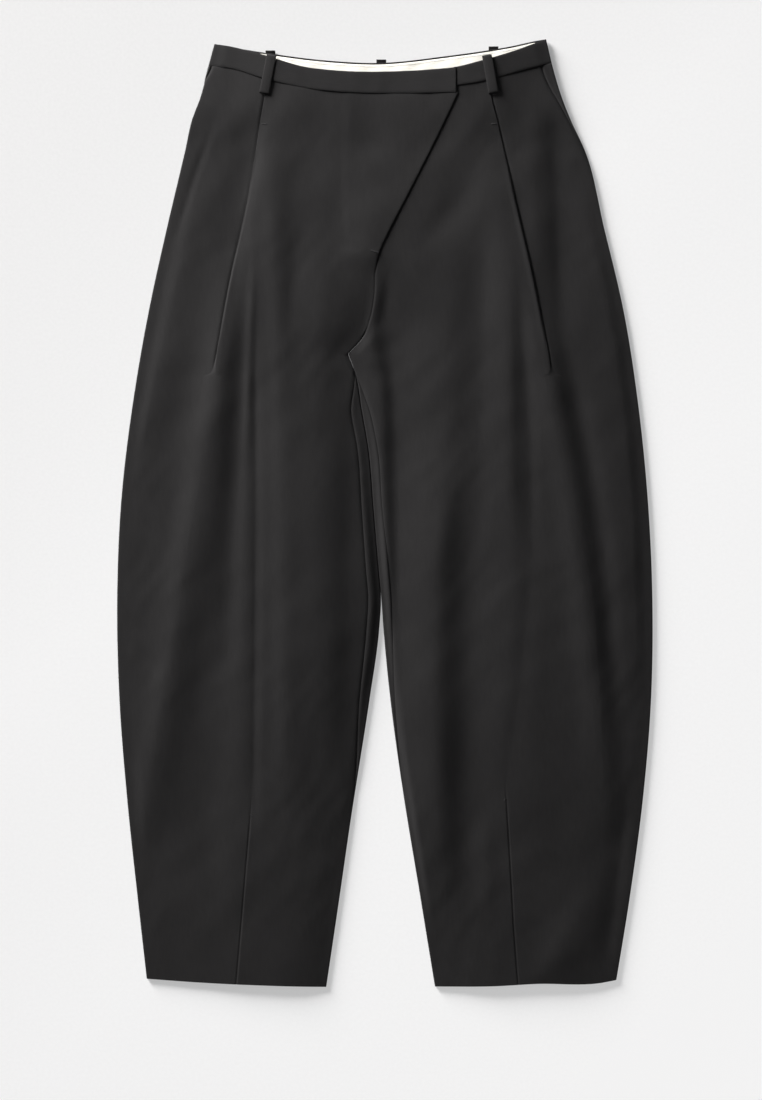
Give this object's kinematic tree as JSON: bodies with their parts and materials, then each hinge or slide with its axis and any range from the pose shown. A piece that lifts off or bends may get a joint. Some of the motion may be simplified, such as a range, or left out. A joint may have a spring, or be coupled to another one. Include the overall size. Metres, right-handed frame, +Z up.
{
  "type": "barrel leg trousers",
  "caption": "Wide curved-leg wool trousers laid flat, with a slanting wrap front, two folded front pleats and belt loops.",
  "frame": {"origin": "middle of the laid-out outline, on the surface that the trousers lie on", "axes": "+X towards the wearer's left, +Y from the hems to the waist, +Z up from the surface, out of the trousers' front"},
  "size_m": [0.5828, 1.0294, 0.0175],
  "materials": {
    "wool_cloth": "matte fine wool twill",
    "facing_cloth": "matte cotton twill"
  },
  "bodies": {
    "root": {"front_right_leg": "wool_cloth", "front_left_leg": "wool_cloth", "back_right_leg": "wool_cloth", "back_left_leg": "wool_cloth", "waistband_front_right": "wool_cloth", "waistband_front_left": "wool_cloth", "waistband_back": "wool_cloth", "waistband_facing_back": "facing_cloth", "belt_loop_front_right": "wool_cloth", "belt_loop_front_left": "wool_cloth", "belt_loop_back_right": "wool_cloth", "belt_loop_back_centre": "wool_cloth", "belt_loop_back_left": "wool_cloth"}
  },
  "joints": []
}
